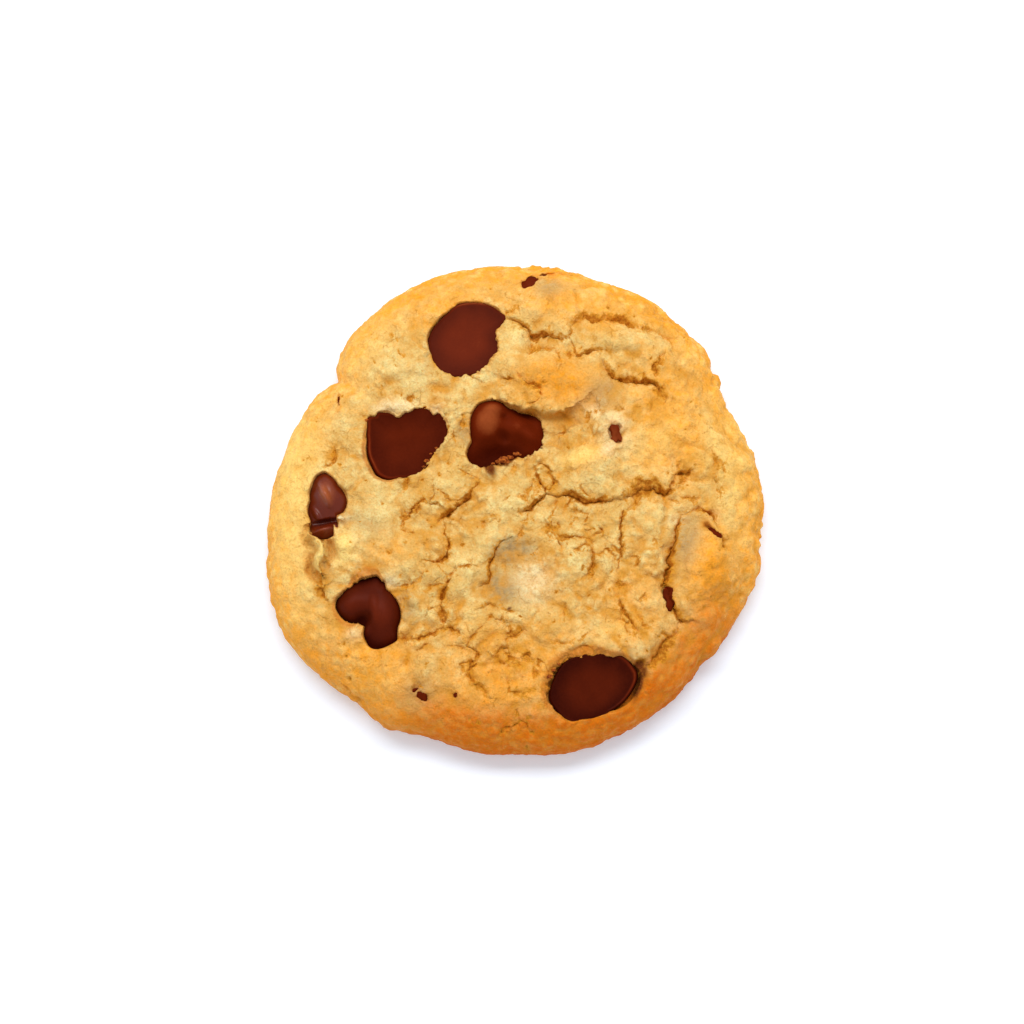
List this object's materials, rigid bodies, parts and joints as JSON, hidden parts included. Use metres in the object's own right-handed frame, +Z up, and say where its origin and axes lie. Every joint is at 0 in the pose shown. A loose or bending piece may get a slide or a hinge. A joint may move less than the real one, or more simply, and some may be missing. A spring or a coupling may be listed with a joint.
{
  "type": "chocolate chip cookie",
  "caption": "Thick round soft-baked cookie with a cracked pale top, a golden puffed edge and chocolate chips sunk in its top.",
  "frame": {"origin": "middle of the flat base the cookie lies on", "axes": "+Z up through the cracked top, +Y to the far side of the top as seen in the picture, +X to its right"},
  "size_m": [0.07, 0.07, 0.0128],
  "materials": {
    "baked_dough": "dry baked crumb, golden brown towards the edge",
    "chocolate": "set chocolate, soft sheen"
  },
  "bodies": {
    "root": {"dough": "baked_dough", "chip_disc_upper": "chocolate", "chip_disc_middle": "chocolate", "chip_lump_valley": "chocolate", "chip_cone_left": "chocolate", "chip_lobed_left": "chocolate", "chip_disc_lower": "chocolate", "chip_edge_top": "chocolate", "chip_splinter_hill": "chocolate", "chip_splinter_mound": "chocolate", "chip_splinter_edge": "chocolate", "chip_splinter_lower": "chocolate", "chip_splinter_notch": "chocolate", "chip_fleck_lower": "chocolate"}
  },
  "joints": []
}
